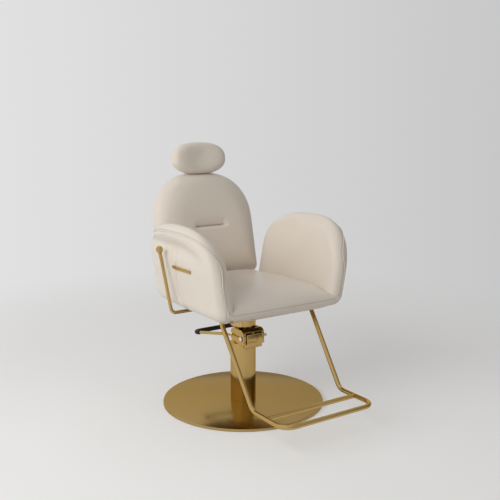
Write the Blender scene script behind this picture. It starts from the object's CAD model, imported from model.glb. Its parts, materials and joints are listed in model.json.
import json
from math import atan2, copysign, cos, exp, hypot, inf, pi, radians, sin, sqrt, tan, tau

import bmesh
import bpy
from mathutils import Matrix, Vector
from mathutils.bvhtree import BVHTree
from mathutils.geometry import delaunay_2d_cdt


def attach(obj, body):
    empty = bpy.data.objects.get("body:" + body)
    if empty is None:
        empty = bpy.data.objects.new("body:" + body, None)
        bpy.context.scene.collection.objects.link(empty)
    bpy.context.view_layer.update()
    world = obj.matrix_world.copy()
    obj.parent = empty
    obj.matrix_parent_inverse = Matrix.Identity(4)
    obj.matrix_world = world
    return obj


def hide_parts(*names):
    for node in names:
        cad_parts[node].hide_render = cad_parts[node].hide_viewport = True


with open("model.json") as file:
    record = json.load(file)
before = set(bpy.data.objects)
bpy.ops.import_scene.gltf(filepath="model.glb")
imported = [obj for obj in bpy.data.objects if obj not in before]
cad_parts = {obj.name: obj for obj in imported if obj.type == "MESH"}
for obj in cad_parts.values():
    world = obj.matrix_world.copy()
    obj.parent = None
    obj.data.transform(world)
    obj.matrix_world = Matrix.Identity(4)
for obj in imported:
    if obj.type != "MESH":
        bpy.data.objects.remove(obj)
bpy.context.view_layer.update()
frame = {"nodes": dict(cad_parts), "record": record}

# Clearances, in metres like every size here
GAP = 0.0003
RUNNING = 0.0004
LOOSE = 0.0008

# Meshes: spacing of points, and angles that stay sharp
ARM_SPACING = 0.0065
ARM_FACE_SPACING = 0.0085
ARM_ROUGH_SPACING = 0.012
ARM_LINE_SPACING = 0.004
CUSHION_END_SPACING = 0.014
BACK_SPACING = 0.0075
BACK_FACE_SPACING = 0.010
BACK_ROUGH_SPACING = 0.014
POCKET_SPACING = 0.015
PANEL_SPACING = 0.012
EDGE_STEPS = 11
FACE_CLEAR = 0.45
FACE_APART = 0.6
MITRE_LEAST = 0.5
MERGE_DISTANCE = 1e-6
WELD_DISTANCE = 0.00001
CRISP_ANGLE = radians(32)
CARVED_ANGLE = radians(50)
CUSHION_ANGLE = radians(60)

# Seat board and arms
BOARD_BOTTOM_Z = 0.3821
BOARD_TOP_Z = 0.3941
BOARD_HALF_WIDTH = 0.2165
BOARD_FRONT_Y = -0.2325
BOARD_REAR_Y = 0.178
ARM_BOTTOM_Z = 0.3851
ARM_HEIGHT = 0.3095
ARM_TOP_Z = ARM_BOTTOM_Z + ARM_HEIGHT
ARM_FRONT_Y = -0.2702
ARM_REAR_Y = 0.1995
ARM_RIDGE_Y = -0.059
ARM_FRONT_DROP = 0.2077
ARM_FRONT_POWER = 2.5
ARM_REAR_DROP = 0.153
ARM_REAR_POWER = 2.6
ARM_FRONT_FOOT = (0.040, 0.042)
ARM_REAR_FOOT = 0.042
ARM_EDGE = 0.034
ARM_FOOT_X = 0.2233
ARM_FLARE = radians(10.6)
ARM_HUG = 0.139
ARM_HUG_Y = -0.050
ARM_SWEEP = 0.011
ARM_SWEEP_TOP = (0.60, 0.68)
ARM_SWEEP_FOOT_Z = 0.50
ARM_SWEEP_FOOT_EASE = 0.06
ARM_SLUMP = 0.020
ARM_SLUMP_Y = -0.105
ARM_SLUMP_REACH = 0.075
ARM_SLUMP_TOP = (0.61, 0.68)
ARM_BULGE = 0.006
ARM_BULGE_Z = 0.600
ARM_BULGE_REACH = 0.040
ARM_BULGE_FRONT = (0.18, 0.25)
VALLEY_Z = 0.618
VALLEY_BEND_Y = -0.030
VALLEY_FALL = 0.9
VALLEY_DEPTH = 0.0160
VALLEY_ABOVE = 0.0190
VALLEY_BELOW = 0.028
VALLEY_FRONT_Y = -0.245
VALLEY_REAR_Y = 0.000
VALLEY_FADE = 0.7
VALLEY_FADE_Y = (0.10, ARM_REAR_Y - 0.01)
VALLEY_ROWS = (-0.040, -0.030, -0.022, -0.015, -0.009, -0.004, 0, 0.004, 0.008, 0.012, 0.018)
VALLEY_COLUMNS = 70
VALLEY_PITCH = 0.006
ARM_PANEL_THICKNESS = 0.012
ARM_PANEL_HEIGHT = 0.215
ARM_PANEL_FRONT_Y = -0.175
ARM_PANEL_REAR_Y = 0.125
ARM_PANEL_EDGE_IN = 0.003
CREASE = ((-0.018, 0.603), (-0.0167, 0.591), (-0.0139, 0.566), (-0.004, 0.5137))
CREASE += ((0.008, 0.4807), (0.0115, 0.449), (0.004, 0.427), (-0.010, 0.413))
CREASE_DEPTH = 0.0062
CREASE_WIDTH = 0.0060
CREASE_END = 0.08
CREASE_ROWS = (-0.007, -0.0035, 0, 0.0035, 0.007)
CREASE_PITCH = 0.005
NOTCH_DEPTH = 0.02

# Seat cushion
CUSHION_BOTTOM_Z = BOARD_TOP_Z + GAP
CUSHION_HEIGHT = 0.068
CUSHION_CLEAR = 1.5 * LOOSE
CUSHION_CROWN = 0.012
CUSHION_SINK = 0.008
CUSHION_SINK_Y = -0.030
CUSHION_TUCK = 0.009
CUSHION_TUCK_WIDTH = 0.028
CUSHION_TUCK_EASE = 0.06
CUSHION_STATIONS = 56
CUSHION_REAR_Y = 0.178
CUSHION_REAR_ROUND = 0.020
WATERFALL_DEPTH = 0.123
LIP_BOTTOM_Z = 0.3821
LIP_FOREMOST_Z = 0.4106
LIP_BLEND = 10

# Backrest, in its leaning frame: x across, n to the rear and s up the back, from the hinge's axis
HINGE_Y = 0.235
HINGE_Z = 0.4001
BACK_LEAN = radians(12.3)
BACK_MIDDLE_N = -0.012
BACK_EDGE = 0.045
BACK_BOTTOM_S = 0.0333
BACK_TOP_S = 0.4500
BACK_HALF_WIDTH = 0.218
BACK_ARCH = 0.2125
BACK_ARCH_POWER = 2.38
BACK_CURL = 0.91
BACK_CURL_S = 0.2875
BACK_FOOT = 0.028
BACK_FOOT_LEAST = 0.006
BACK_FRONT_RISE = 0.055
BACK_FRONT_SPREAD = 0.105
BACK_TOP_SPREAD = 0.050
BACK_TOP_BLEND = (0.33, 0.43)
TUCK_S = 0.2315
TUCK_HALF_LENGTH = 0.071
TUCK_DEPTH = 0.0095
TUCK_ABOVE = 0.019
TUCK_BELOW = 0.008
TUCK_END = 0.008
TUCK_END_EASE = 0.026
TUCK_ROWS = (0.0012, 0.0025, 0.004, 0.006, 0.009, 0.014, 0.020)
TUCK_ROWS = (*(-row for row in reversed(TUCK_ROWS)), 0, *TUCK_ROWS)
TUCK_COLUMNS = 41
TUCK_PITCH = 0.004
TUCK_START_X = -0.080
FOLD_DEPTH = 0.0095
FOLD_WIDTH = 0.0026
BACK_BOARD_INSET = 0.048
BACK_BOARD_FRONT_N = 0.0072
PANEL_FRONT_N = 0.0195
PANEL_REAR_N = 0.033
PANEL_EDGE = 0.005
PANEL_SEAM = 0.0135
PANEL_SEAM_ROWS = (0.0105, 0.012, 0.0135, 0.015, 0.0165)
PANEL_SEAM_DEPTH = 0.0009
PANEL_SEAM_WIDTH = 0.0022
PANEL_STITCH_DEPTH = 0.0007
BOLT_HOLE_BEYOND = 0.01
STRAP_X = 0.060
BACK_BOLT_S = (0.120, 0.160)
BOLT_RADIUS = 0.004

# Headrest
HEAD_S = 0.499
HEAD_N = -0.0255
HEAD_HALF = (0.117, 0.0405, 0.0622)
HEAD_RISE = 0.0014
HEAD_POWER = 2.5
HEAD_SECTION_POWER = 2.15
HEAD_FRONT_POWER = 3.2
HEAD_DISH = 0.020
HEAD_DISH_WIDTH = 0.68
HEAD_DISH_POWER = 1.5
HEAD_STATIONS = 56
HEAD_TIP = 0.15
HEAD_SIDES = 48
HEAD_TILT = radians(25)
STEM_HALF_WIDTH = 0.019
STEM_HALF_THICKNESS = 0.0025
STEM_EYE = 0.008
GUIDE_HALF_WIDTH = 0.0235
GUIDE_FRONT = 0.006
GUIDE_BOTTOM_S = 0.270
GUIDE_TOP_S = 0.410
HEAD_PIN_RADIUS = 0.004
HEAD_PIN_HALF_LENGTH = 0.040

# Sewing
SEAM_TURN_LOW = radians(12)
SEAM_TURN_CORNER = radians(-11)
SEAM_TURN_TOP = radians(75)
SEAM_TURN_BLEND = (0.500, 0.585)
SEAM_TURN_CLIMB_Z = 0.600
SEAM_TURN_EASE = 0.022
SEAM_SPREAD = 0.060
SEAM_CROWD = (-1.5, -1, -0.6, -0.3, 0, 0.3, 0.6, 1)
SEAM_STEPS = (5, 6)
SEAM_GROOVE = 0.0026
SEAM_GROOVE_WIDTH = 0.8 * SEAM_SPREAD
SEAM_CORNER_X = 0.2405
SEAM_CORNER_Z = 0.450
SEAM_LIP_X = 0.200
SEAM_CORNER_STEPS = 24
SEAM_LIP_STEPS = 40
SEAM_RAY_Y = -0.4
SEAM_EASINGS = 6
PIPING_RADIUS = 0.0017
PIPING_LIFT = 0.0004
PIPING_SIDES = 10
STITCH_LENGTH = 0.0042
STITCH_PITCH = 0.0062
STITCH_RADIUS = 0.00055
STITCH_OFFSET = 0.0058
STITCH_FLATNESS = 1.3
STITCH_ARCH = 1.1
STITCH_SINK = 0.3
STITCH_TIP = 0.08
STITCH_STEPS = 6
STITCH_SIDES = 6

# Camera and stage
CAMERA_PLACE = (-1.4859, -2.2524, 1.0514)
CAMERA_AZIMUTH = radians(-33.96)
CAMERA_ELEVATION = radians(10.02)
CAMERA_LENS = 54
CAMERA_SENSOR = 36
FLOOR_RADIUS = 3
FLOOR_Z = -0.0005
FLOOR_FADE = (0.8, 2.6)
FLOOR_GLOW = 0.20
FLOOR_FINISH = {"Roughness": 0.9, "Specular IOR Level": 0.1, "Emission Color": (1, 1, 1, 1)}
WORLD_LIGHT = 0.34
WORLD_TONE = (1.0, 0.975, 0.94, 1)
BACKDROP_SPAN = (-0.35, 0.35)
BACKDROP_SHADE = (0.765, 0.565)
DUSK_SPAN = (0.40, 0.95)
DUSK_SHADE = (1.0, 0.25)
KEY_TONE = (1.0, 0.995, 0.985)
KEY_POWER = 54
KEY_SHINE_POWER = 38
SOFT_POWER = 4


# Materials

LEATHER_FINISH = {
    "Specular IOR Level": 0.55,
    "Sheen Weight": 0.06,
    "Sheen Roughness": 0.5,
    "Coat Weight": 0.5,
    "Coat Roughness": 0.24,
}


def new_material(name):
    """A new material, with its node tree and its shader."""
    made = bpy.data.materials.new(name)
    made.use_nodes = True
    return made, made.node_tree, made.node_tree.nodes["Principled BSDF"]


def new_node(tree, kind):
    return tree.nodes.new("ShaderNode" + kind)


def set_inputs(node, values):
    for name, value in values.items():
        node.inputs[name].default_value = value


def texture(tree, kind, scale, squeeze=None, **settings):
    """A procedural texture on the object's own coordinates; scale is in cycles per metre."""
    place = new_node(tree, "TexCoord")
    made = new_node(tree, kind)
    made.inputs["Scale"].default_value = scale
    for key, value in settings.items():
        if key in made.inputs:
            made.inputs[key].default_value = value
        else:
            setattr(made, key, value)
    source = place.outputs["Object"]
    if squeeze:
        mapping = new_node(tree, "Mapping")
        mapping.inputs["Scale"].default_value = squeeze
        tree.links.new(source, mapping.inputs["Vector"])
        source = mapping.outputs["Vector"]
    tree.links.new(source, made.inputs["Vector"])
    return made


def noise(tree, scale, squeeze=None, **settings):
    return texture(tree, "TexNoise", scale, squeeze, **settings).outputs["Fac"]


def ramp(tree, source, low, high, socket=None, start=0.3, end=0.7):
    """A colour ramp between two colours, or two grey levels, and its link to a socket."""
    made = new_node(tree, "ValToRGB")
    for element, place, value in zip(made.color_ramp.elements, (start, end), (low, high)):
        element.position = place
        element.color = (*value, 1) if isinstance(value, tuple) else (value, value, value, 1)
    tree.links.new(source, made.inputs["Fac"])
    if socket:
        tree.links.new(made.outputs["Color"], socket)
    return made.outputs["Color"]


def bump(tree, height, shader, distance, strength, under=None):
    """Small bumps from a height, laid over those under them."""
    made = new_node(tree, "Bump")
    set_inputs(made, {"Strength": strength, "Distance": distance})
    tree.links.new(height, made.inputs["Height"])
    if under:
        tree.links.new(under, made.inputs["Normal"])
    tree.links.new(made.outputs["Normal"], shader.inputs["Normal"])
    return made.outputs["Normal"]


def maths(tree, operation, *values):
    """A sum on other nodes' outputs and on plain numbers."""
    made = new_node(tree, "Math")
    made.operation = operation
    for socket, value in zip(made.inputs, values):
        if isinstance(value, bpy.types.NodeSocket):
            tree.links.new(value, socket)
        else:
            socket.default_value = value
    return made.outputs["Value"]


def map_range(tree, source, span, values, kind="LINEAR"):
    """Turns a span of a source into a span of values."""
    made = new_node(tree, "MapRange")
    made.interpolation_type = kind
    names = ("From Min", "From Max", "To Min", "To Max")
    set_inputs(made, dict(zip(names, (*span, *values))))
    tree.links.new(source, made.inputs["Value"])
    return made.outputs["Result"]


def leather_material(name, light, dark, roughness):
    """Smooth grained leather: pebbled cells, soft stretch marks and a slow change of tone."""
    made, tree, shader = new_material(name)
    tone = noise(tree, 9, Detail=4, Roughness=0.55)
    ramp(tree, tone, dark, light, shader.inputs["Base Color"])
    gloss = noise(tree, 40, Detail=3)
    ramp(tree, gloss, roughness - 0.05, roughness + 0.07, shader.inputs["Roughness"])
    cells = texture(tree, "TexVoronoi", 620, feature="DISTANCE_TO_EDGE")
    pebbles = ramp(tree, cells.outputs["Distance"], 0.0, 1.0, start=0.0, end=0.25)
    pores = noise(tree, 1500, Detail=2)
    stretch = noise(tree, 26, Detail=2, Distortion=0.6)
    first = bump(tree, stretch, shader, distance=0.0016, strength=0.35)
    second = bump(tree, pores, shader, distance=0.00012, strength=0.4, under=first)
    bump(tree, pebbles, shader, distance=0.00016, strength=0.45, under=second)
    set_inputs(shader, LEATHER_FINISH)
    return made


def metal_material(name, light, dark, edge, roughness, grain=0.000008):
    """Satin metal with a fine grain and a little uneven gloss; roughness is (least, most)."""
    made, tree, shader = new_material(name)
    set_inputs(shader, {"Metallic": 1.0, "Specular Tint": (*edge, 1)})
    tone = noise(tree, 7, Detail=3, Roughness=0.5)
    ramp(tree, tone, dark, light, shader.inputs["Base Color"])
    marks = noise(tree, 700, Detail=2)
    ramp(tree, marks, *roughness, shader.inputs["Roughness"])
    bump(tree, marks, shader, grain, strength=0.5)
    return made


def coated_material(name, light, dark, roughness, scale, depth, specular=0.5):
    """Thread, paint, rubber or cast iron: an uneven skin with small bumps."""
    made, tree, shader = new_material(name)
    tone = noise(tree, 30, Detail=5)
    ramp(tree, tone, dark, light, shader.inputs["Base Color"])
    bumps = noise(tree, scale, Detail=3)
    ramp(tree, bumps, *roughness, shader.inputs["Roughness"])
    bump(tree, bumps, shader, depth, strength=0.6)
    shader.inputs["Specular IOR Level"].default_value = specular
    return made


def plywood_material(name, light, dark):
    """Birch plywood: plies across the thickness and a fine grain along the sheet."""
    made, tree, shader = new_material(name)
    grain = noise(tree, 60, squeeze=(1, 0.08, 1), Detail=6, Distortion=1.2)
    plies = texture(tree, "TexWave", 210, bands_direction="Z", Distortion=0.6)
    blend = maths(tree, "MULTIPLY_ADD", plies.outputs["Fac"], 0.45, grain)
    ramp(tree, blend, dark, light, shader.inputs["Base Color"], start=0.35, end=0.85)
    ramp(tree, grain, 0.50, 0.72, shader.inputs["Roughness"])
    bump(tree, grain, shader, distance=0.0002, strength=0.4)
    return made


# Looks of each material, in the order of the arguments above
LEATHERS = {
    "cream_leather": ((0.785, 0.712, 0.628), (0.768, 0.693, 0.607), 0.37),
    "piping_leather": ((0.815, 0.745, 0.665), (0.795, 0.722, 0.640), 0.40),
}
METALS = {
    "gold_steel": ((0.58, 0.40, 0.155), (0.555, 0.38, 0.145), (0.90, 0.74, 0.45), (0.13, 0.18)),
    "gold_disc": ((0.50, 0.345, 0.140), (0.485, 0.332, 0.133), (0.72, 0.61, 0.45), (0.18, 0.22)),
    "gold_column": ((0.56, 0.385, 0.150), (0.54, 0.37, 0.142), (0.85, 0.70, 0.42), (0.09, 0.13)),
    "chrome": ((0.80, 0.80, 0.82), (0.76, 0.76, 0.78), (1, 1, 1), (0.08, 0.14), 0.000003),
    "plain_steel": ((0.56, 0.56, 0.58), (0.48, 0.48, 0.50), (0.9, 0.9, 0.9), (0.28, 0.42)),
}
COATS = {
    "cream_thread": ((0.44, 0.37, 0.29), (0.36, 0.30, 0.23), (0.55, 0.75), 2400, 0.0001, 0.3),
    "black_rubber": ((0.020, 0.020, 0.022), (0.010, 0.010, 0.011), (0.5, 0.75), 700, 0.0001, 0.4),
    "black_steel": ((0.028, 0.028, 0.030), (0.018, 0.018, 0.020), (0.35, 0.55), 900, 0.00008),
    "cast_iron": ((0.060, 0.060, 0.062), (0.035, 0.035, 0.036), (0.5, 0.8), 420, 0.0003),
}
PLYWOODS = {"plywood": ((0.62, 0.45, 0.27), (0.33, 0.20, 0.10))}
MATERIALS = {}
for kind, looks in (
    (leather_material, LEATHERS),
    (metal_material, METALS),
    (coated_material, COATS),
    (plywood_material, PLYWOODS),
):
    MATERIALS.update({name: kind(name, *look) for name, look in looks.items()})
LEATHER = MATERIALS["cream_leather"]
PIPING = MATERIALS["piping_leather"]
THREAD = MATERIALS["cream_thread"]


def dress_nodes():
    """Gives every node its slot's material and smooth shading with crisp corners."""
    special = {"base_cover": "gold_disc", "column_sleeve": "gold_column"}
    for part in frame["record"]["subparts"]:
        node = frame["nodes"][part["node"]]
        node.data.materials.clear()
        node.data.materials.append(MATERIALS[special.get(part["node"], part["material_slot"])])
        node.data.shade_smooth()
        if "custom_normal" in node.data.attributes:
            node.data.attributes.remove(node.data.attributes["custom_normal"])
        node.modifiers.new("weld", "WELD").merge_threshold = WELD_DISTANCE
        node.modifiers.new("crisp", "EDGE_SPLIT").split_angle = CRISP_ANGLE


# Shapes

def smooth(value, low, high):
    """A soft step from 0 at low to 1 at high."""
    share = min(1, max(0, (value - low) / (high - low)))
    return share * share * (3 - 2 * share)


def bell(off, width):
    """A soft bump: 1 in the middle, and all but 0 two widths off."""
    return exp(-((off / width) ** 2))


def power_arc(middle, reach, start, power, steps):
    """A quarter of a superellipse, from the quarter turn numbered start, anticlockwise."""
    points = []
    for step in range(steps + 1):
        angle = (start + step / steps) * pi / 2
        across = copysign(abs(cos(angle)) ** (2 / power), cos(angle))
        up = copysign(abs(sin(angle)) ** (2 / power), sin(angle))
        points.append(Vector((middle[0] + reach[0] * across, middle[1] + reach[1] * up)))
    return points


def straight(start, end, steps):
    """Even steps along a flat line, with its end but without its start."""
    (x, y), (end_x, end_y) = start, end
    shares = [step / steps for step in range(1, steps + 1)]
    return [Vector((x + (end_x - x) * share, y + (end_y - y) * share)) for share in shares]


def circle(x, y, radius, count):
    """Points of a flat circle."""
    turns = [tau * step / count for step in range(count)]
    return [(x + radius * cos(a), y + radius * sin(a)) for a in turns]


def even_places(outline, spacing):
    """Even places round a closed outline, as (point's number, share of the way to the next)."""
    lengths = [0.0]
    loop = outline + outline[:1]
    for a, b in zip(loop, loop[1:]):
        lengths.append(lengths[-1] + (b - a).length)
    count = round(lengths[-1] / spacing)
    found = []
    index = 0
    for number in range(count):
        place = lengths[-1] * number / count
        while lengths[index + 1] < place:
            index += 1
        found.append((index, (place - lengths[index]) / (lengths[index + 1] - lengths[index])))
    return found


def at_places(outline, places):
    """The outline's points at the places found on one like it."""
    loop = outline + outline[:1]
    return [loop[index].lerp(loop[index + 1], share) for index, share in places]


def inset(outline, distances):
    """An anticlockwise outline moved inwards, each point by its own distance."""
    found = []
    for index, (point, distance) in enumerate(zip(outline, distances)):
        ahead = (outline[(index + 1) % len(outline)] - point).normalized()
        behind = (point - outline[index - 1]).normalized()
        inward = (ahead + behind).normalized().orthogonal()
        found.append(point + inward * distance / max(MITRE_LEAST, inward.dot(behind.orthogonal())))
    return found


def distance_inside(point, outline):
    """How far a point lies inside an outline; negative outside."""
    nearest = inf
    inside = False
    for a, b in zip(outline, outline[1:] + outline[:1]):
        along = b - a
        share = min(1, max(0, (point - a).dot(along) / along.length_squared))
        nearest = min(nearest, (a + along * share - point).length)
        if (a.y > point.y) != (b.y > point.y):
            inside ^= point.x < a.x + (point.y - a.y) * along.x / along.y
    return nearest if inside else -nearest


def distance_to_path(point, path):
    """Distance from a flat path, and how far along it that is, from 0 to 1."""
    best = (inf, 0.0)
    for index, (a, b) in enumerate(zip(path, path[1:])):
        along = b - a
        share = min(1, max(0, (point - a).dot(along) / along.length_squared))
        best = min(best, ((a + along * share - point).length, (index + share) / (len(path) - 1)))
    return best


def edge_height(inside, radius):
    """Half thickness of a pad with a full round edge, at a distance inside its outline."""
    reach = min(max(inside, 0), radius)
    return sqrt(radius**2 - (radius - reach) ** 2)


def skin(bm, rings, capped=False):
    """Joins closed rings of points with faces, and closes both ends where capped."""
    for first, second in zip(rings, rings[1:]):
        for index in range(len(first)):
            bm.faces.new((first[index - 1], first[index], second[index], second[index - 1]))
    if capped:
        bm.faces.new(rings[0])
        bm.faces.new(rings[-1])


def fill_face(bm, border, border_points, place, spacing, extra=()):
    """Fills a flat border with triangles over extra points and a staggered grid of inner ones."""
    low = [min(p[i] for p in border) for i in (0, 1)]
    high = [max(p[i] for p in border) for i in (0, 1)]
    up_step = spacing * sqrt(3) / 2
    rows = int((high[1] - low[1]) / up_step)
    columns = int((high[0] - low[0]) / spacing)
    clear = [p for p in extra if distance_inside(p, border) > spacing / 3]
    fixed = list(clear)
    for j in range(1, rows + 1):
        for i in range(columns + 1):
            point = Vector((low[0] + (i + 0.5 * (j % 2)) * spacing, low[1] + j * up_step))
            if any((point - other).length < spacing * FACE_APART for other in fixed):
                continue
            if distance_inside(point, border) > spacing * FACE_CLEAR:
                clear.append(point)
    count = len(border)
    loop = [(i, (i + 1) % count) for i in range(count)]
    flat, _, faces, origin, _, _ = delaunay_2d_cdt(list(border) + clear, loop, [], 1, 1e-7)
    corners = []
    for point, sources in zip(flat, origin):
        at_border = [i for i in sources if i < count]
        corners.append(border_points[at_border[0]] if at_border else bm.verts.new(place(point)))
    for face in faces:
        bm.faces.new([corners[i] for i in face])


def turn_steps(start, end, steps):
    return [start + (end - start) * step / steps for step in range(1, steps + 1)]


def edge_turns(side, seat):
    """The first turn round a pad's edge and those up to one face, crowded at a seam's seat."""
    start = 0.0 if seat is None else min(0, seat - 3 * SEAM_SPREAD)
    face = side * pi / 2
    if seat is None or side < 0:
        return start, turn_steps(start, face, EDGE_STEPS)
    low = seat - 2 * SEAM_SPREAD
    high = min(seat + 2 * SEAM_SPREAD, face - SEAM_SPREAD / 4)
    turns = turn_steps(start, low, SEAM_STEPS[0])
    turns += [seat + SEAM_SPREAD * step for step in SEAM_CROWD] + [high]
    return start, turns + turn_steps(high, face, SEAM_STEPS[1])


def pad(outline, shrunk, radius, swell, place, relief, spacing, seam=None, extra=()):
    """A closed pad with a round edge and, where seam is given, a sewn groove round its edge.

    shrunk(distances) is the outline moved inwards, swell(point, distance, side) the half thickness
    there, place(point, thickness) the point in space and relief(point, side) how far a face stands
    out. seam(point) is the turn round the edge, from its middle outwards, where the groove lies.
    """
    bm = bmesh.new()
    seats = [seam(point) if seam else None for point in outline]

    def ring(turns, side):
        dents = [0.0] * len(turns)
        if seam:
            offs = [turn - seat for turn, seat in zip(turns, seats)]
            dents = [SEAM_GROOVE * bell(off, SEAM_GROOVE_WIDTH) for off in offs]
        inwards = [radius - (radius - dent) * cos(a) for a, dent in zip(turns, dents)]
        made = []
        for point, turn, dent in zip(shrunk(inwards), turns, dents):
            rise = swell(point, radius * (1 - cos(turn)), side) - dent * abs(sin(turn))
            fuller = copysign(rise, turn) + side * sin(turn) ** 4 * relief(point, side)
            made.append((point, bm.verts.new(place(point, fuller))))
        return made

    first = ring([edge_turns(1, seat)[0] for seat in seats], 1)
    for side in (1, -1):
        rows = zip(*(edge_turns(side, seat)[1] for seat in seats))
        rings = [first] + [ring(row, side) for row in rows]

        def face(point):
            half = swell(point, distance_inside(point, outline), side)
            return place(point, side * (half + relief(point, side)))

        skin(bm, [[vertex for _, vertex in row] for row in rings])
        border = [point for point, _ in rings[-1]]
        fill_face(bm, border, [vertex for _, vertex in rings[-1]], face, spacing, extra)
    return bm


def ring_round(bm, middle, across, up, count):
    """A ring of points round a middle, in the plane of two half axes."""
    turns = [tau * step / count for step in range(count)]
    return [bm.verts.new(middle + across * cos(a) + up * sin(a)) for a in turns]


def tube(path, radius):
    """A closed tube along a path of points."""
    bm = bmesh.new()
    normal = None
    rings = []
    for index, point in enumerate(path):
        tangent = (path[min(index + 1, len(path) - 1)] - path[max(index - 1, 0)]).normalized()
        if normal is None:
            normal = tangent.orthogonal()
        normal = (normal - tangent * normal.dot(tangent)).normalized()
        other = tangent.cross(normal)
        rings.append(ring_round(bm, point, normal * radius, other * radius, PIPING_SIDES))
    skin(bm, rings, capped=True)
    return bm


def walk(path, pitch):
    """Even places along a path, as (point, direction)."""
    found = []
    left = pitch / 2
    for a, b in zip(path, path[1:]):
        length = (b - a).length
        while left <= length:
            found.append((a.lerp(b, left / length), (b - a).normalized()))
            left += pitch
        left -= length
    return found


def stitches(path, outward):
    """Short flattened threads along a path on a surface; outward(point) is the surface's normal."""
    bm = bmesh.new()
    for point, along in walk(path, STITCH_PITCH):
        up = outward(point)
        up = (up - along * up.dot(along)).normalized()
        across = along.cross(up) * STITCH_FLATNESS
        rings = []
        for step in range(STITCH_STEPS + 1):
            share = step / STITCH_STEPS * 2 - 1
            lift = STITCH_RADIUS * (STITCH_ARCH * (1 - share**4) - STITCH_SINK)
            size = STITCH_RADIUS * sqrt(max(STITCH_TIP, 1 - share**4))
            middle = point + along * share * STITCH_LENGTH / 2 + up * lift
            rings.append(ring_round(bm, middle, across * size, up * size, STITCH_SIDES))
        skin(bm, rings, capped=True)
    return bm


def box(low, high):
    """An upright box between two corners."""
    bm = bmesh.new()
    bmesh.ops.create_cube(bm, size=1)
    size = [b - a for a, b in zip(low, high)]
    middle = [(a + b) / 2 for a, b in zip(low, high)]
    matrix = Matrix.Translation(middle) @ Matrix.Diagonal((*size, 1))
    bmesh.ops.transform(bm, matrix=matrix, verts=bm.verts)
    return bm


def prism(outline, low, high, axis):
    """A flat outline drawn out along X as (y, z) or along Y as (x, z)."""
    bm = bmesh.new()
    rings = []
    for level in (low, high):
        places = [(level, *p) if axis == "X" else (p[0], level, p[1]) for p in outline]
        rings.append([bm.verts.new(place) for place in places])
    skin(bm, rings, capped=True)
    return bm


def add_object(name, data):
    made = bpy.data.objects.new(name, data)
    bpy.context.scene.collection.objects.link(made)
    return made


def make(name, bm, material=None):
    """Turns a bmesh into a smooth object with outward faces."""
    bmesh.ops.remove_doubles(bm, verts=bm.verts, dist=MERGE_DISTANCE)
    bmesh.ops.recalc_face_normals(bm, faces=bm.faces)
    mesh = bpy.data.meshes.new(name)
    bm.to_mesh(mesh)
    bm.free()
    mesh.shade_smooth()
    if material:
        mesh.materials.append(material)
    return add_object(name, mesh)


def carve(target, *cutters):
    """Cuts the rooms for hidden neighbours out of a soft piece, and removes the cutters."""
    for cutter in cutters:
        modifier = target.modifiers.new(cutter.name, "BOOLEAN")
        modifier.operation = "DIFFERENCE"
        modifier.solver = "EXACT"
        modifier.object = cutter
    graph = bpy.context.evaluated_depsgraph_get()
    mesh = bpy.data.meshes.new_from_object(target.evaluated_get(graph))
    target.modifiers.clear()
    target.data = mesh
    for cutter in cutters:
        bpy.data.objects.remove(cutter)
    mesh.shade_smooth()
    mesh.set_sharp_from_angle(angle=CARVED_ANGLE)


def settle(piece, body, nodes=()):
    """Gives a piece its body, the nodes it stands for and, if stuffed, its fill."""
    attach(piece, body)
    if nodes:
        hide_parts(*nodes)


# Arms

def arm_middle_x(y, z):
    """An arm's middle surface, from the chair's middle plane; arms close in towards the rear."""
    hug = ARM_HUG * max(0, y - ARM_HUG_Y) ** 2
    return ARM_FOOT_X + (z - ARM_BOTTOM_Z) * tan(ARM_FLARE) - hug


def arm_outline(spacing):
    """Side view of an arm as (y, z), anticlockwise seen from +X, from the rear-most point."""
    front = (ARM_RIDGE_Y - ARM_FRONT_Y, ARM_FRONT_DROP)
    rear = (ARM_REAR_Y - ARM_RIDGE_Y, ARM_REAR_DROP)
    foot_y, foot_z = ARM_FRONT_FOOT
    points = power_arc((ARM_RIDGE_Y, ARM_TOP_Z - ARM_REAR_DROP), rear, 0, ARM_REAR_POWER, 90)
    middle = (ARM_RIDGE_Y, ARM_TOP_Z - ARM_FRONT_DROP)
    points += power_arc(middle, front, 1, ARM_FRONT_POWER, 90)[1:]
    middle = (ARM_FRONT_Y + foot_y, ARM_BOTTOM_Z + foot_z)
    points += power_arc(middle, ARM_FRONT_FOOT, 2, 2, 24)
    middle = (ARM_REAR_Y - ARM_REAR_FOOT, ARM_BOTTOM_Z + ARM_REAR_FOOT)
    points += power_arc(middle, (ARM_REAR_FOOT, ARM_REAR_FOOT), 3, 2, 24)
    return at_places(points, even_places(points, spacing))


ARM_OUTLINE = arm_outline(ARM_SPACING)
ARM_ROUGH_OUTLINE = arm_outline(ARM_ROUGH_SPACING)
CREASE_PATH = [Vector(point) for point in CREASE]


def valley_z(y):
    """Height of the valley under the roll on an arm's outer face; it falls towards the front."""
    return VALLEY_Z - VALLEY_FALL * max(0, VALLEY_BEND_Y - y) ** 2


def arm_relief(point, side):
    """Outer face: the valley under the roll that caps the arm, and one soft upright crease."""
    if side < 0:
        return 0.0
    strength = VALLEY_DEPTH * smooth(point.x, VALLEY_FRONT_Y, VALLEY_REAR_Y)
    strength *= 1 - VALLEY_FADE * smooth(point.x, *VALLEY_FADE_Y)
    off = point.y - valley_z(point.x)
    valley = strength * bell(off, VALLEY_ABOVE if off > 0 else VALLEY_BELOW)
    away, along = distance_to_path(point, CREASE_PATH)
    fade = sin(pi * (CREASE_END + (1 - 2 * CREASE_END) * along)) ** 0.5
    return -valley - CREASE_DEPTH * fade * bell(away, CREASE_WIDTH)


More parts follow.
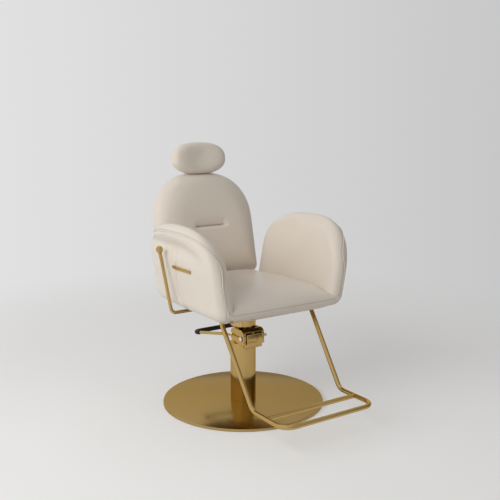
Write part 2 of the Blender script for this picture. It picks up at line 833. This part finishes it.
def arm_place(point, thickness):
    """A point of the +X arm: swept to the rear outside, and slumped on top and bulging inside."""
    y, z = point
    outer = max(0, thickness) / ARM_EDGE
    inner = max(0, -thickness) / ARM_EDGE
    ends = smooth(z, *ARM_SWEEP_TOP) + smooth(ARM_SWEEP_FOOT_Z - z, 0, ARM_SWEEP_FOOT_EASE)
    sweep = ARM_SWEEP * outer * smooth(y, 0, ARM_REAR_Y) * ends
    slump = ARM_SLUMP * inner * smooth(z, *ARM_SLUMP_TOP) * bell(y - ARM_SLUMP_Y, ARM_SLUMP_REACH)
    bulge = ARM_BULGE * inner * smooth(-y, *ARM_BULGE_FRONT)
    bulge *= bell(z - ARM_BULGE_Z, ARM_BULGE_REACH)
    return Vector((arm_middle_x(y, z) + thickness - bulge, y + sweep, z - slump))


def seam_turn(point):
    """Turn of the seam round an arm's edge: near its middle in front, and outside on the roll."""
    turn = SEAM_TURN_LOW + (SEAM_TURN_CORNER - SEAM_TURN_LOW) * smooth(point.y, *SEAM_TURN_BLEND)
    above = point.y - SEAM_TURN_CLIMB_Z
    climb = (above + hypot(above, SEAM_TURN_EASE)) / 2
    return turn + (SEAM_TURN_TOP - SEAM_TURN_CORNER) * climb / (ARM_TOP_Z - SEAM_TURN_CLIMB_Z)


def arm_board_room(sign):
    """Room for the board inside an arm."""
    bottom = BOARD_TOP_Z
    top = bottom + ARM_PANEL_HEIGHT + 2 * GAP
    foot = BOARD_HALF_WIDTH - ARM_PANEL_EDGE_IN - ARM_PANEL_THICKNESS
    lean = ARM_PANEL_HEIGHT * tan(ARM_FLARE)
    inner = foot - GAP
    outer = foot + ARM_PANEL_THICKNESS + GAP
    section = [(inner, bottom), (outer, bottom), (outer + lean, top), (inner + lean, top)]
    section = [(sign * x, z) for x, z in section]
    return prism(section, ARM_PANEL_FRONT_Y - GAP, ARM_PANEL_REAR_Y + GAP, "Y")


def arm_fine_points():
    """Points for a finer mesh beside the crease and valley of an arm's outer face."""
    found = []
    for a, b in zip(CREASE_PATH, CREASE_PATH[1:]):
        across = (b - a).orthogonal().normalized()
        steps = round((b - a).length / CREASE_PITCH)
        for step in range(steps):
            found += [a.lerp(b, step / steps) + across * off for off in CREASE_ROWS]
    for column in range(VALLEY_COLUMNS):
        y = VALLEY_FRONT_Y + VALLEY_PITCH * column
        found += [Vector((y, valley_z(y) + off)) for off in VALLEY_ROWS]
    return found


def build_arm(side, sign):
    """One padded arm, with room for its own board and for the seat board."""

    def place(point, thickness):
        x, y, z = arm_place(point, thickness)
        return (sign * x, y, z)

    def shrunk(distances):
        return inset(ARM_OUTLINE, distances)

    def swell(point, distance, face):
        return edge_height(distance, ARM_EDGE)

    fine = arm_fine_points()
    shape = pad(
        ARM_OUTLINE, shrunk, ARM_EDGE, swell, place, arm_relief, ARM_FACE_SPACING, seam_turn, fine
    )
    arm = make(f"{side}_arm_pad", shape, LEATHER)
    low = (-BOARD_HALF_WIDTH - GAP, BOARD_FRONT_Y - GAP, BOARD_BOTTOM_Z - NOTCH_DEPTH)
    high = (BOARD_HALF_WIDTH + GAP, BOARD_REAR_Y + GAP, BOARD_TOP_Z + GAP)
    carve(arm, make("notch", box(low, high)), make("board_room", arm_board_room(sign)))
    settle(arm, "seat", nodes=(f"{side}_arm",))
    return arm


# Seat cushion

def cushion_profile(blend):
    """Side view of the seat cushion as (y, z); blend shrinks its lip into the arm's own foot."""
    top = CUSHION_BOTTOM_Z + CUSHION_HEIGHT
    lip = LIP_BOTTOM_Z + blend * (BOARD_TOP_Z - LIP_BOTTOM_Z)
    foremost = LIP_FOREMOST_Z + blend * (ARM_BOTTOM_Z + ARM_FRONT_FOOT[1] - LIP_FOREMOST_Z)
    step_y = BOARD_FRONT_Y - GAP
    round_y = CUSHION_REAR_Y - CUSHION_REAR_ROUND
    round_z = top - CUSHION_REAR_ROUND
    fall_y = ARM_FRONT_Y + WATERFALL_DEPTH
    under_front = (step_y, CUSHION_BOTTOM_Z)
    under_rear = (CUSHION_REAR_Y, CUSHION_BOTTOM_Z)
    profile = power_arc((round_y, round_z), (CUSHION_REAR_ROUND, CUSHION_REAR_ROUND), 0, 2, 8)
    profile += straight((round_y, top), (fall_y, top), 26)[:-1]
    profile += power_arc((fall_y, foremost), (WATERFALL_DEPTH, top - foremost), 1, 2, 26)
    profile += power_arc((step_y, foremost), (step_y - ARM_FRONT_Y, foremost - lip), 2, 2, 10)[1:]
    profile += straight((step_y, lip), under_front, 3)
    profile += straight(under_front, under_rear, 10)
    return profile + straight(under_rear, (CUSHION_REAR_Y, round_z), 4)[:-1]


def cushion_reach(y, z):
    """How far the cushion reaches sideways before it meets an arm's inner face."""
    inside = distance_inside(Vector((y, z)), ARM_ROUGH_OUTLINE)
    return arm_middle_x(y, z) - edge_height(inside, ARM_EDGE) - CUSHION_CLEAR


def build_seat_cushion():
    """The seat cushion between the arms: crowned, tucked in at its sides and sunk at the rear."""
    bm = bmesh.new()
    rings = []
    for number in range(CUSHION_STATIONS + 1):
        share = sin(pi * (number / CUSHION_STATIONS - 0.5))
        points = []
        for y, z in cushion_profile(abs(share) ** LIP_BLEND):
            rise = max(0, (z - CUSHION_BOTTOM_Z) / CUSHION_HEIGHT)
            flat = min(1, max(0, (y - ARM_FRONT_Y) / CUSHION_TUCK_EASE))
            tuck = CUSHION_TUCK * flat * rise * bell(1 - abs(share), CUSHION_TUCK_WIDTH)
            sink = CUSHION_SINK * rise * smooth(y, CUSHION_SINK_Y, CUSHION_REAR_Y)
            height = z + rise * CUSHION_CROWN * (1 - share**2 - share**8) - tuck - sink
            points.append(bm.verts.new((share * cushion_reach(y, height), y, height)))
        rings.append(points)
    skin(bm, rings)
    for sign, end in ((-1, rings[0]), (1, rings[-1])):

        def place(point):
            return (sign * cushion_reach(point.x, point.y), point.x, point.y)

        border = [Vector((vertex.co.y, vertex.co.z)) for vertex in end]
        fill_face(bm, border, end, place, CUSHION_END_SPACING)
    cushion = make("seat_pad", bm, LEATHER)
    cushion.data.set_sharp_from_angle(angle=CUSHION_ANGLE)
    settle(cushion, "seat", nodes=("seat_cushion",))
    return cushion


# Piping and stitching of the seat shell

def front_surface(objects):
    """A search tree over the front of the seat, to lay the sewing on."""
    points = []
    faces = []
    for item in objects:
        start = len(points)
        points += [vertex.co.copy() for vertex in item.data.vertices]
        faces += [[start + index for index in polygon.vertices] for polygon in item.data.polygons]
    return BVHTree.FromPolygons(points, faces)


def arm_line(offset, lift):
    """A line beside the +X arm's seam, up its rear, over the top and down to the front corner.

    offset is its distance from the seam, positive inwards, and lift its height above the skin.
    """
    outline = arm_outline(ARM_LINE_SPACING)
    turns = [seam_turn(point) - offset / ARM_EDGE for point in outline]
    reach = ARM_EDGE + lift
    flat = inset(outline, [ARM_EDGE - reach * cos(turn) for turn in turns])
    middle = Vector((ARM_RIDGE_Y, SEAM_CORNER_Z))
    found = []
    for point, turn in zip(flat, turns):
        if point.y > SEAM_CORNER_Z:
            found.append((atan2(*(point - middle).yx), point, turn))
    found.sort(key=lambda item: item[0])
    return [arm_place(point, reach * sin(turn)) for _, point, turn in found]


def seat_line(tree, offset, lift=0.0):
    """The seam line from arm to arm, moved towards the seat by an offset and raised by a lift."""
    arm = arm_line(offset, lift)
    lip_z = LIP_FOREMOST_Z + offset
    start = arm[-1].xz
    corner = Vector((SEAM_CORNER_X - offset, lip_z))
    end = Vector((SEAM_LIP_X, lip_z))
    flats = []
    for step in range(1, SEAM_CORNER_STEPS + 1):
        t = step / SEAM_CORNER_STEPS
        flats.append(start * (1 - t) ** 2 + corner * 2 * t * (1 - t) + end * t**2)
    for step in range(1, SEAM_LIP_STEPS + 1):
        flats.append(Vector((end.x * (1 - step / SEAM_LIP_STEPS), lip_z)))
    half = []
    for flat in flats:
        hit, _, _, _ = tree.ray_cast(Vector((flat.x, SEAM_RAY_Y, flat.y)), Vector((0, 1, 0)))
        half.append(Vector((flat.x, hit.y - lift, flat.y)))
    for _ in range(SEAM_EASINGS):
        ys = [p.y for p in half]
        for index in range(1, len(half) - 1):
            half[index].y = (ys[index - 1] + 2 * ys[index] + ys[index + 1]) / 4
    side = arm + half
    return side + [Vector((-p.x, p.y, p.z)) for p in reversed(side[:-1])]


def build_sewing(arms, cushion):
    """The piping cord in the seam and the row of stitches beside it."""
    tree = front_surface([*arms, cushion])
    cord = seat_line(tree, 0.0, PIPING_LIFT)
    settle(make("seat_piping", tube(cord, PIPING_RADIUS), PIPING), "seat")
    row = stitches(seat_line(tree, STITCH_OFFSET), lambda point: tree.find_nearest(point)[1])
    settle(make("seat_stitching", row, THREAD), "seat")


# Backrest and headrest, made in their leaning frame

BACK_MATRIX = Matrix.Translation((0, HINGE_Y, HINGE_Z)) @ Matrix.Rotation(-BACK_LEAN, 4, "X")


def back_shape(shrink):
    """Front view of the backrest as (x, s), anticlockwise, moved inwards; always as many points."""
    spring_s = BACK_TOP_S - BACK_ARCH
    reach = (BACK_HALF_WIDTH - shrink, BACK_ARCH - shrink)
    corner = max(BACK_FOOT - shrink, BACK_FOOT_LEAST)
    foot = (corner, corner)
    foot_x = BACK_HALF_WIDTH - shrink - corner
    foot_s = BACK_BOTTOM_S + shrink + corner
    points = power_arc((0, spring_s), reach, 0, BACK_ARCH_POWER, 80)
    points += power_arc((0, spring_s), reach, 1, BACK_ARCH_POWER, 80)[1:]
    points += power_arc((-foot_x, foot_s), foot, 2, 2, 24)
    points += power_arc((foot_x, foot_s), foot, 3, 2, 24)
    return points


def back_outline(shrink, spacing):
    """The backrest's outline, with points evenly spaced before it is moved inwards."""
    return at_places(back_shape(shrink), even_places(back_shape(0), spacing))


def back_place(point, thickness):
    """A backrest point: its top curls to the rear, except for the flat rear face."""
    curl = BACK_CURL * max(0, point.y - BACK_CURL_S) ** 2
    share = 1 - max(0, thickness) / BACK_EDGE
    return (point.x, BACK_MIDDLE_N + share * curl + thickness, point.y)


BACK_ROUGH_OUTLINE = back_outline(0, BACK_ROUGH_SPACING)


def back_swell(point, distance, side):
    """Half thickness of the backrest: a broad swell in front, and a round edge at the rear."""
    if side > 0:
        return edge_height(distance, BACK_EDGE)
    top = smooth(point.y, *BACK_TOP_BLEND)
    spread = BACK_FRONT_SPREAD + (BACK_TOP_SPREAD - BACK_FRONT_SPREAD) * top
    off = 1 - min(max(distance, 0), spread) / spread
    return BACK_FRONT_RISE * sqrt(1 - off**2)


def head_size(share, power):
    """Size of the pillow's section, at a share of its half length from the middle."""
    return max(0, 1 - abs(share) ** power) ** (1 / power)


def under_head(x, n, s):
    """Presses a backrest point down under the resting pillow, which all but touches it."""
    length, thick, high = HEAD_HALF
    size = head_size(x / length, HEAD_POWER)
    across = abs(n - HEAD_N) / (thick * max(size, 0.01))
    if across < 1:
        s = min(s, HEAD_S + HEAD_RISE - size * high * head_size(across, HEAD_SECTION_POWER) - LOOSE)
    return (x, n, s)


def back_relief(point, side):
    """Front: one sewn tuck, a sharp fold in a soft hollow. Rear: flat."""
    if side > 0:
        return 0.0
    reach = smooth(TUCK_HALF_LENGTH + TUCK_END - abs(point.x), 0, TUCK_END_EASE)
    off = point.y - TUCK_S
    hollow = TUCK_DEPTH * bell(off, TUCK_ABOVE if off > 0 else TUCK_BELOW)
    return -reach * (hollow + FOLD_DEPTH * bell(off, FOLD_WIDTH))


def build_backrest():
    """The backrest cushion, with rooms for its board and for the headrest's guide and stem."""
    columns = [TUCK_START_X + TUCK_PITCH * step for step in range(TUCK_COLUMNS)]
    fine = [Vector((x, TUCK_S + s)) for x in columns for s in TUCK_ROWS]

    def shrunk(distances):
        return back_outline(distances[0], BACK_SPACING)

    def place(point, thickness):
        return under_head(*back_place(point, thickness))

    outline = back_outline(0, BACK_SPACING)
    shape = pad(
        outline, shrunk, BACK_EDGE, back_swell, place, back_relief, BACK_FACE_SPACING, extra=fine
    )
    cushion = make("backrest_pad", shape, LEATHER)
    beyond = BACK_MIDDLE_N + 2 * BACK_EDGE
    inner = back_outline(BACK_BOARD_INSET - GAP, POCKET_SPACING)
    pocket = prism(inner, BACK_BOARD_FRONT_N - GAP, beyond, "Y")
    guide_low = (-GUIDE_HALF_WIDTH - GAP, HEAD_N - GUIDE_FRONT - GAP, GUIDE_BOTTOM_S - GAP)
    guide_high = (GUIDE_HALF_WIDTH + GAP, BACK_BOARD_FRONT_N, GUIDE_TOP_S + GAP)
    wide = STEM_HALF_WIDTH + RUNNING
    thick = STEM_HALF_THICKNESS + RUNNING
    stem_low = [v + GAP / 3 for v in (-wide, HEAD_N - thick, GUIDE_BOTTOM_S - GUIDE_FRONT)]
    stem_high = (wide, HEAD_N + thick, HEAD_S)
    guide = make("guide", box(guide_low, guide_high))
    carve(cushion, make("pocket", pocket), guide, make("stem", box(stem_low, stem_high)))
    cushion.data.transform(BACK_MATRIX)
    settle(cushion, "back", nodes=("backrest_cushion",))


def build_back_panel():
    """The upholstered rear panel: a thin pad with a rounded, stitched border."""
    outline = back_outline(BACK_BOARD_INSET, BACK_SPACING)
    middle_n = PANEL_REAR_N - PANEL_EDGE
    bm = bmesh.new()
    rings = [[bm.verts.new((p.x, n, p.y)) for p in outline] for n in (PANEL_FRONT_N, middle_n)]
    for step in range(1, 7):
        angle = pi / 2 * step / 6
        n = middle_n + PANEL_EDGE * sin(angle)
        inwards = PANEL_EDGE * (1 - cos(angle))
        flat = back_outline(BACK_BOARD_INSET + inwards, BACK_SPACING)
        rings.append([bm.verts.new((p.x, n, p.y)) for p in flat])
    skin(bm, rings)
    bm.faces.new(rings[0])

    def place(p):
        away = distance_inside(p, BACK_ROUGH_OUTLINE) - BACK_BOARD_INSET - PANEL_SEAM
        dent = PANEL_SEAM_DEPTH * bell(away, PANEL_SEAM_WIDTH)
        return (p.x, PANEL_REAR_N - dent, p.y)

    fine = []
    for row in PANEL_SEAM_ROWS:
        fine += back_outline(BACK_BOARD_INSET + row, BACK_SPACING)
    fill_face(bm, flat, rings[-1], place, PANEL_SPACING, fine)
    panel = make("back_panel_pad", bm, LEATHER)
    bolts = []
    low = PANEL_FRONT_N - BOLT_HOLE_BEYOND
    high = PANEL_REAR_N + BOLT_HOLE_BEYOND
    for sign in (-1, 1):
        for s in BACK_BOLT_S:
            hole = circle(sign * STRAP_X, s, BOLT_RADIUS + GAP, 24)
            bolts.append(make("bolt_hole", prism(hole, low, high, "Y")))
    carve(panel, *bolts)
    panel.data.transform(BACK_MATRIX)
    settle(panel, "back", nodes=("back_panel",))

    line = back_outline(BACK_BOARD_INSET + PANEL_SEAM, BACK_SPACING)
    depth = PANEL_REAR_N - PANEL_STITCH_DEPTH
    path = [BACK_MATRIX @ Vector((p.x, depth, p.y)) for p in line + line[:1]]
    rear = BACK_MATRIX.to_3x3() @ Vector((0, 1, 0))
    settle(make("back_panel_stitching", stitches(path, lambda point: rear), THREAD), "back")


def build_headrest():
    """The oval pillow, with a dished face and room for the stem as it tilts."""
    length, thick, high = HEAD_HALF
    bm = bmesh.new()
    rings = []
    for number in range(HEAD_STATIONS + 1):
        share = -cos(pi * (number + HEAD_TIP) / (HEAD_STATIONS + 2 * HEAD_TIP))
        size = head_size(share, HEAD_POWER)
        fuller = head_size(share, HEAD_FRONT_POWER)
        points = []
        for turn in range(HEAD_SIDES):
            quarters = 4 * turn / HEAD_SIDES
            across, up = power_arc((0, 0), (thick, high), quarters, HEAD_SECTION_POWER, 1)[0]
            n = (fuller if across < 0 else size) * across
            s = size * up + HEAD_RISE
            front = max(0, -cos(quarters * pi / 2)) ** HEAD_DISH_POWER
            dish = HEAD_DISH * front * bell(share, HEAD_DISH_WIDTH) * (1 - (up / high) ** 2)
            points.append(bm.verts.new((share * length, n + dish, s)))
        rings.append(points)
    skin(bm, rings, capped=True)
    pillow = make("headrest_pad", bm, LEATHER)
    low = -high - STEM_EYE
    slim = STEM_HALF_THICKNESS + LOOSE
    spread = slim / cos(HEAD_TILT) - low * tan(HEAD_TILT)
    room = STEM_EYE + LOOSE
    wedge = [(-room, room), (-room, -room), (-slim, -2 * room), (-slim, low)]
    wedge += [(spread, low), (room, -room), (room, room)]
    half = STEM_HALF_WIDTH + LOOSE
    reach = HEAD_PIN_HALF_LENGTH + GAP
    bore = circle(0, 0, HEAD_PIN_RADIUS + GAP, 20)
    stem_room = make("stem_room", prism(wedge, -half, half, "X"))
    carve(pillow, stem_room, make("bore", prism(bore, -reach, reach, "X")))
    pillow.data.transform(BACK_MATRIX @ Matrix.Translation((0, HEAD_N, HEAD_S)))
    settle(pillow, "headrest", nodes=("headrest_pillow",))


# Stage

def shown_rays(tree):
    """1 for the rays by which a backdrop is seen: straight, in a mirror and through glass."""
    path = new_node(tree, "LightPath")
    shown = path.outputs["Is Camera Ray"]
    for name in ("Is Glossy Ray", "Is Transmission Ray"):
        shown = maths(tree, "MAXIMUM", shown, path.outputs[name])
    return shown


def mix_shaders(tree, share, first, second, output):
    """Shows the second shader by a share, and the first one by the rest."""
    mix = new_node(tree, "MixShader")
    for socket, source in zip(mix.inputs, (share, first, second)):
        tree.links.new(source, socket)
    tree.links.new(mix.outputs["Shader"], tree.nodes[output].inputs["Surface"])


def build_floor():
    """A pale floor with a faded rim."""
    made, tree, shader = new_material("pale_floor")
    tone = noise(tree, 1.5, Detail=2)
    ramp(tree, tone, 0.76, 0.78, shader.inputs["Base Color"])
    set_inputs(shader, FLOOR_FINISH)
    glow = maths(tree, "MULTIPLY", shown_rays(tree), FLOOR_GLOW)
    tree.links.new(glow, shader.inputs["Emission Strength"])
    reach = new_node(tree, "VectorMath")
    reach.operation = "LENGTH"
    tree.links.new(new_node(tree, "TexCoord").outputs["Object"], reach.inputs[0])
    fade = map_range(tree, reach.outputs["Value"], FLOOR_FADE, (1.0, 0.0), "SMOOTHSTEP")
    clear = new_node(tree, "BsdfTransparent").outputs["BSDF"]
    mix_shaders(tree, fade, clear, shader.outputs["BSDF"], "Material Output")
    bm = bmesh.new()
    bmesh.ops.create_circle(bm, cap_ends=True, segments=96, radius=FLOOR_RADIUS)
    floor = make("floor", bm, made)
    floor.location.z = FLOOR_Z


def build_world():
    """An even light, and a backdrop that is seen darker to the right, most of all in mirrors."""
    world = bpy.data.worlds.new("studio")
    bpy.context.scene.world = world
    world.use_nodes = True
    tree = world.node_tree
    light = tree.nodes["Background"]
    set_inputs(light, {"Color": WORLD_TONE, "Strength": WORLD_LIGHT})
    across = new_node(tree, "VectorMath")
    across.operation = "DOT_PRODUCT"
    across.inputs[1].default_value = (cos(CAMERA_AZIMUTH), sin(CAMERA_AZIMUTH), 0)
    tree.links.new(new_node(tree, "TexCoord").outputs["Generated"], across.inputs[0])
    to_right = across.outputs["Value"]
    mirrored = new_node(tree, "LightPath").outputs["Is Glossy Ray"]
    mirrored = maths(tree, "MULTIPLY", to_right, mirrored)
    shade = map_range(tree, to_right, BACKDROP_SPAN, BACKDROP_SHADE)
    dusk = map_range(tree, mirrored, DUSK_SPAN, DUSK_SHADE)
    seen = new_node(tree, "Background")
    tree.links.new(shade, seen.inputs["Color"])
    tree.links.new(dusk, seen.inputs["Strength"])
    shaders = [node.outputs["Background"] for node in (light, seen)]
    mix_shaders(tree, shown_rays(tree), *shaders, "World Output")


def area_light(name, place, aim, size, power, colour=(1, 1, 1), shines=True):
    """A soft lamp; where shines is off, nothing mirrors it."""
    data = bpy.data.lights.new(name, "AREA")
    data.shape = "RECTANGLE"
    data.size, data.size_y = size
    data.energy = power
    data.color = colour
    made = add_object(name, data)
    made.visible_glossy = shines
    made.location = place
    made.rotation_euler = (Vector(aim) - Vector(place)).to_track_quat("-Z", "Y").to_euler()


def build_light():
    """A broad key lamp on the left, in part unmirrored, and a faint fill and top."""
    key = ((-3.0, -0.5, 2.1), (0, 0, 0.45), (3.4, 2.2))
    area_light("key", *key, KEY_POWER, KEY_TONE, shines=False)
    area_light("key_shine", *key, KEY_SHINE_POWER, KEY_TONE)
    area_light("fill", (1.6, -3.0, 1.6), (0, 0, 0.4), (2.4, 2.0), SOFT_POWER)
    area_light("top", (0.2, 0.4, 3.4), (0, 0, 0.4), (2.5, 2.5), SOFT_POWER)


def build_camera():
    """The photo's camera, fitted to the base's disc and the column."""
    right = Vector((cos(CAMERA_AZIMUTH), sin(CAMERA_AZIMUTH), 0))
    level = cos(CAMERA_ELEVATION)
    back = Vector((right.y * level, -right.x * level, sin(CAMERA_ELEVATION)))
    data = bpy.data.cameras.new("camera")
    data.sensor_width = CAMERA_SENSOR
    data.lens = CAMERA_LENS
    made = add_object("camera", data)
    matrix = Matrix((right, back.cross(right), back)).transposed().to_4x4()
    matrix.translation = CAMERA_PLACE
    made.matrix_world = matrix
    bpy.context.scene.camera = made


dress_nodes()
build_camera()
build_floor()
build_world()
build_light()
arms = [build_arm(side, sign) for side, sign in (("left", -1), ("right", 1))]
cushion = build_seat_cushion()
build_sewing(arms, cushion)
build_backrest()
build_back_panel()
build_headrest()
bpy.context.scene.view_settings.view_transform = "Standard"
